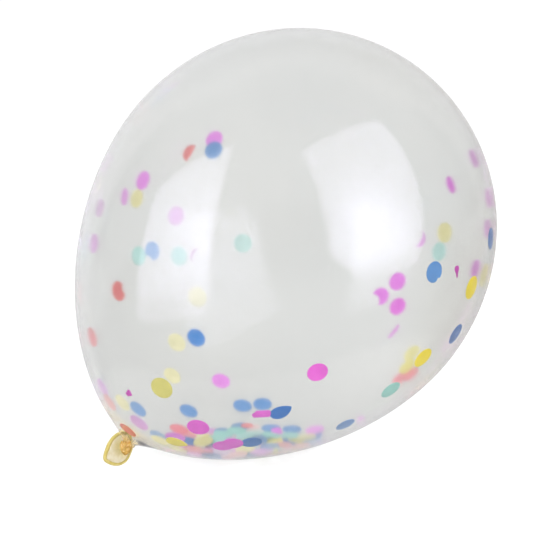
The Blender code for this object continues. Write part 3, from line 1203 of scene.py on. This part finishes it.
knot = make_knot()
bead = make_bead()
membrane = make_membrane()
knot.data.materials.clear()
knot.data.materials.append(
    thick_material("latex_knot", 0.40, 0.24, 1.33, (0.46, 0.26, 0.04), (0.74, 0.50, 0.16), 0.35)
)
bead.data.materials.append(
    thick_material("latex_bead", 0.62, 0.38, 1.08, (0.60, 0.50, 0.15), (0.68, 0.57, 0.22), 0.12)
)
membrane.data.materials.append(
    thick_material(
        "latex_lip", 0.75, 0.36, 1.20, (0.68, 0.60, 0.41), (0.75, 0.69, 0.52), 0.06,
        (0.68, 0.58, 0.28),
    )
)
for piece in (knot, bead, membrane):
    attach(piece, "root")
    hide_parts("balloon")

# ---- camera ------------------------------------------------------------------
cam_data = bpy.data.cameras.new("camera")
cam_data.lens = 101.379
cam_data.sensor_width = 36.0
cam_data.clip_start = 0.01
cam_data.clip_end = 60.0
cam = bpy.data.objects.new("camera", cam_data)
scene.collection.objects.link(cam)
cam.location = tuple(CAM_AT)
cam.rotation_mode = "QUATERNION"
cam.rotation_quaternion = Vector(tuple(-BACK)).to_track_quat("-Z", "Y")
scene.camera = cam

# ---- studio ------------------------------------------------------------------
WHITE = 1.06


class Rig:
    """Short calls for the world's node tree."""

    def __init__(self, nt):
        self.nt = nt

    def math(self, op, a, b=None, c=None, clamp=False):
        m = self.nt.nodes.new("ShaderNodeMath")
        m.operation = op
        m.use_clamp = clamp
        for socket, value in zip(m.inputs, (a, b, c)):
            if value is None:
                continue
            if isinstance(value, (int, float)):
                socket.default_value = value
            else:
                self.nt.links.new(value, socket)
        return m.outputs[0]

    def dot(self, d, n):
        m = self.nt.nodes.new("ShaderNodeVectorMath")
        m.operation = "DOT_PRODUCT"
        self.nt.links.new(d, m.inputs[0])
        m.inputs[1].default_value = tuple(map(float, n))
        return m.outputs["Value"]

    def step(self, value, lo, hi):
        return ramp(self.nt, value, lo, hi)

    def span(self, value, lo, hi, first, last):
        out = ramp(self.nt, value, lo, hi, False)
        out.node.inputs["To Min"].default_value = first
        out.node.inputs["To Max"].default_value = last
        return out

    def glow(self, d, towards, power):
        c = self.math("MAXIMUM", self.dot(d, unit(towards)), 0.0)
        return self.math("POWER", c, power)

    def inside(self, d, normals, soft):
        out = None
        for n in normals:
            s = self.step(self.dot(d, n), -soft, soft)
            out = s if out is None else self.math("MULTIPLY", out, s)
        return out


def build_world():
    world = bpy.data.worlds.new("studio")
    scene.world = world
    world.use_nodes = True
    world.cycles.sampling_method = "NONE"
    nt = world.node_tree
    nt.nodes.clear()
    rig = Rig(nt)
    d = nt.nodes.new("ShaderNodeTexCoord").outputs["Generated"]
    # two softboxes, each the space inside four planes through the middle
    left = rig.inside(
        d,
        (
            (-0.7018, -0.5884, -0.4016),
            (-0.3416, 0.8936, -0.2912),
            (-0.1769, 0.0021, 0.9842),
            (-0.3622, -0.8449, 0.3937),
        ),
        0.03,
    )
    left_hot = rig.glow(d, (-0.925, 0.0, 0.36), 15.0)
    right = rig.inside(
        d,
        (
            (0.1017, -0.901, -0.4218),
            (-0.7697, -0.5878, 0.2492),
            (0.0007, -0.1504, 0.9886),
            (0.6746, -0.0928, 0.7323),
            (0.964, -0.2306, 0.1322),
        ),
        0.03,
    )
    right_hot = rig.glow(d, (0.12, -0.94, 0.32), 15.0)
    boxes = rig.math(
        "ADD",
        rig.math("MULTIPLY", left, rig.math("MULTIPLY_ADD", left_hot, 8.0, 6.2)),
        rig.math("MULTIPLY", right, rig.math("MULTIPLY_ADD", right_hot, 14.0, 6.8)),
    )
    # the white backdrop behind, wide and tall
    fwd = unit((-BACK[0], -BACK[1], 0.0))
    side = np.array((fwd[1], -fwd[0], 0.0))      # to the right of the view
    half = math.radians(55)
    lim_r = math.sin(half) * fwd - math.cos(half) * side
    lim_l = math.sin(half) * fwd + math.cos(half) * side
    top = math.radians(63)
    lim_t = math.sin(top) * fwd + np.array((0, 0, -math.cos(top)))
    drop = rig.inside(d, (lim_r, lim_l, lim_t), 0.10)
    # a white table: its near edge is close, and bends down at both sides
    across = rig.dot(d, side)
    bend = rig.math("POWER", rig.math("ABSOLUTE", rig.math("SUBTRACT", across, 0.15)), 2.0)
    sunk = rig.math("MULTIPLY", rig.dot(d, (0, 0, 1)), -1.0)
    low = rig.step(rig.math("MULTIPLY_ADD", bend, 0.28, sunk), 0.71, 0.78)
    ahead = rig.dot(d, fwd)
    low = rig.math("MULTIPLY", low, rig.span(ahead, -0.3, 0.4, 2.4, 0.60))
    # dimmer to the right, with a dark stand there and a grey one to the left
    height = rig.dot(d, (0, 0, 1))
    shade = rig.math(
        "MULTIPLY_ADD", rig.step(height, -0.22, 0.0), 0.16, rig.span(across, -0.5, 0.5, 0.74, 0.48)
    )
    stand = rig.glow(d, 0.71 * fwd + 0.67 * side + np.array((0, 0, -0.22)), 26.0)
    other = rig.glow(d, 0.71 * fwd - 0.70 * side + np.array((0, 0, -0.20)), 26.0)
    shade = rig.math("MULTIPLY", shade, rig.math("MULTIPLY_ADD", stand, -1.0, 1.0))
    shade = rig.math("MULTIPLY", shade, rig.math("MULTIPLY_ADD", other, -0.35, 1.0))
    # a wide light overhead
    over = rig.math("MULTIPLY", rig.step(height, 0.2, 0.95), rig.span(ahead, 0.35, 0.8, 2.4, 0.0))
    white = rig.math("MAXIMUM", rig.math("MULTIPLY", drop, shade), low)
    room = rig.math("ADD", rig.math("ADD", white, over), rig.span(height, -0.3, 0.25, 0.04, 0.16))
    path = nt.nodes.new("ShaderNodeLightPath").outputs["Glossy Depth"]
    seen = rig.math("GREATER_THAN", path, 0.5)
    mix = nt.nodes.new("ShaderNodeMix")
    mix.data_type = "FLOAT"
    nt.links.new(seen, mix.inputs[0])
    mix.inputs[2].default_value = WHITE
    nt.links.new(room, mix.inputs[3])
    back = nt.nodes.new("ShaderNodeBackground")
    warm = rig.math("MULTIPLY", rig.step(across, 0.0, 0.5), seen)
    nt.links.new(
        mix_colour(nt, warm, (1.0, 1.0, 1.0), (1.0, 0.965, 0.93)), back.inputs["Color"]
    )
    nt.links.new(mix.outputs[0], back.inputs["Strength"])
    cool = nt.nodes.new("ShaderNodeBackground")
    cool.inputs["Color"].default_value = (0.95, 0.93, 1.14, 1)
    nt.links.new(rig.math("MULTIPLY", boxes, seen), cool.inputs["Strength"])
    both = nt.nodes.new("ShaderNodeAddShader")
    nt.links.new(back.outputs[0], both.inputs[0])
    nt.links.new(cool.outputs[0], both.inputs[1])
    out = nt.nodes.new("ShaderNodeOutputWorld")
    nt.links.new(both.outputs[0], out.inputs[0])


def build_floor():
    mesh = bpy.data.meshes.new("floor")
    bm = bmesh.new()
    bmesh.ops.create_circle(bm, cap_ends=True, segments=96, radius=4.0)
    bmesh.ops.translate(bm, vec=(0, 0, -0.0002), verts=bm.verts)
    bm.to_mesh(mesh)
    bm.free()
    floor = bpy.data.objects.new("floor", mesh)
    scene.collection.objects.link(floor)
    mat = bpy.data.materials.new("floor")
    mat.use_nodes = True
    nt = mat.node_tree
    nt.nodes.clear()
    diff = nt.nodes.new("ShaderNodeBsdfDiffuse")
    diff.inputs["Color"].default_value = (0.16, 0.16, 0.16, 1)
    emit = nt.nodes.new("ShaderNodeEmission")
    emit.inputs["Color"].default_value = (1, 1, 1, 1)
    emit.inputs["Strength"].default_value = 0.86
    add = nt.nodes.new("ShaderNodeAddShader")
    out = nt.nodes.new("ShaderNodeOutputMaterial")
    nt.links.new(diff.outputs[0], add.inputs[0])
    nt.links.new(emit.outputs[0], add.inputs[1])
    nt.links.new(add.outputs[0], out.inputs[0])
    mesh.materials.append(mat)
    floor.visible_glossy = False
    floor.visible_diffuse = True


def area_light(name, at, size, power):
    data = bpy.data.lights.new(name, "AREA")
    data.shape = "SQUARE"
    data.size = size
    data.energy = power
    lamp = bpy.data.objects.new(name, data)
    scene.collection.objects.link(lamp)
    lamp.location = at
    aim = Vector((0.0, 0.0, 0.12)) - Vector(at)
    lamp.rotation_mode = "QUATERNION"
    lamp.rotation_quaternion = aim.to_track_quat("-Z", "Y")
    lamp.visible_glossy = False
    lamp.visible_transmission = False
    lamp.visible_camera = False
    return lamp


build_world()
build_floor()
area_light("key_left", (-1.6, -0.1, 1.1), 0.9, 20.0)
area_light("key_right", (0.5, -1.7, 0.7), 0.9, 24.0)
area_light("top", (0.2, 0.4, 2.2), 1.6, 26.0)

scene.cycles.max_bounces = 32
scene.cycles.glossy_bounces = 16
scene.cycles.transmission_bounces = 24
# plain noise, which the denoiser clears from the highlights
scene.cycles.use_adaptive_sampling = False
scene.cycles.sampling_pattern = "TABULATED_SOBOL"

scene.view_settings.view_transform = "Standard"
scene.view_settings.look = "None"

bpy.context.view_layer.update()
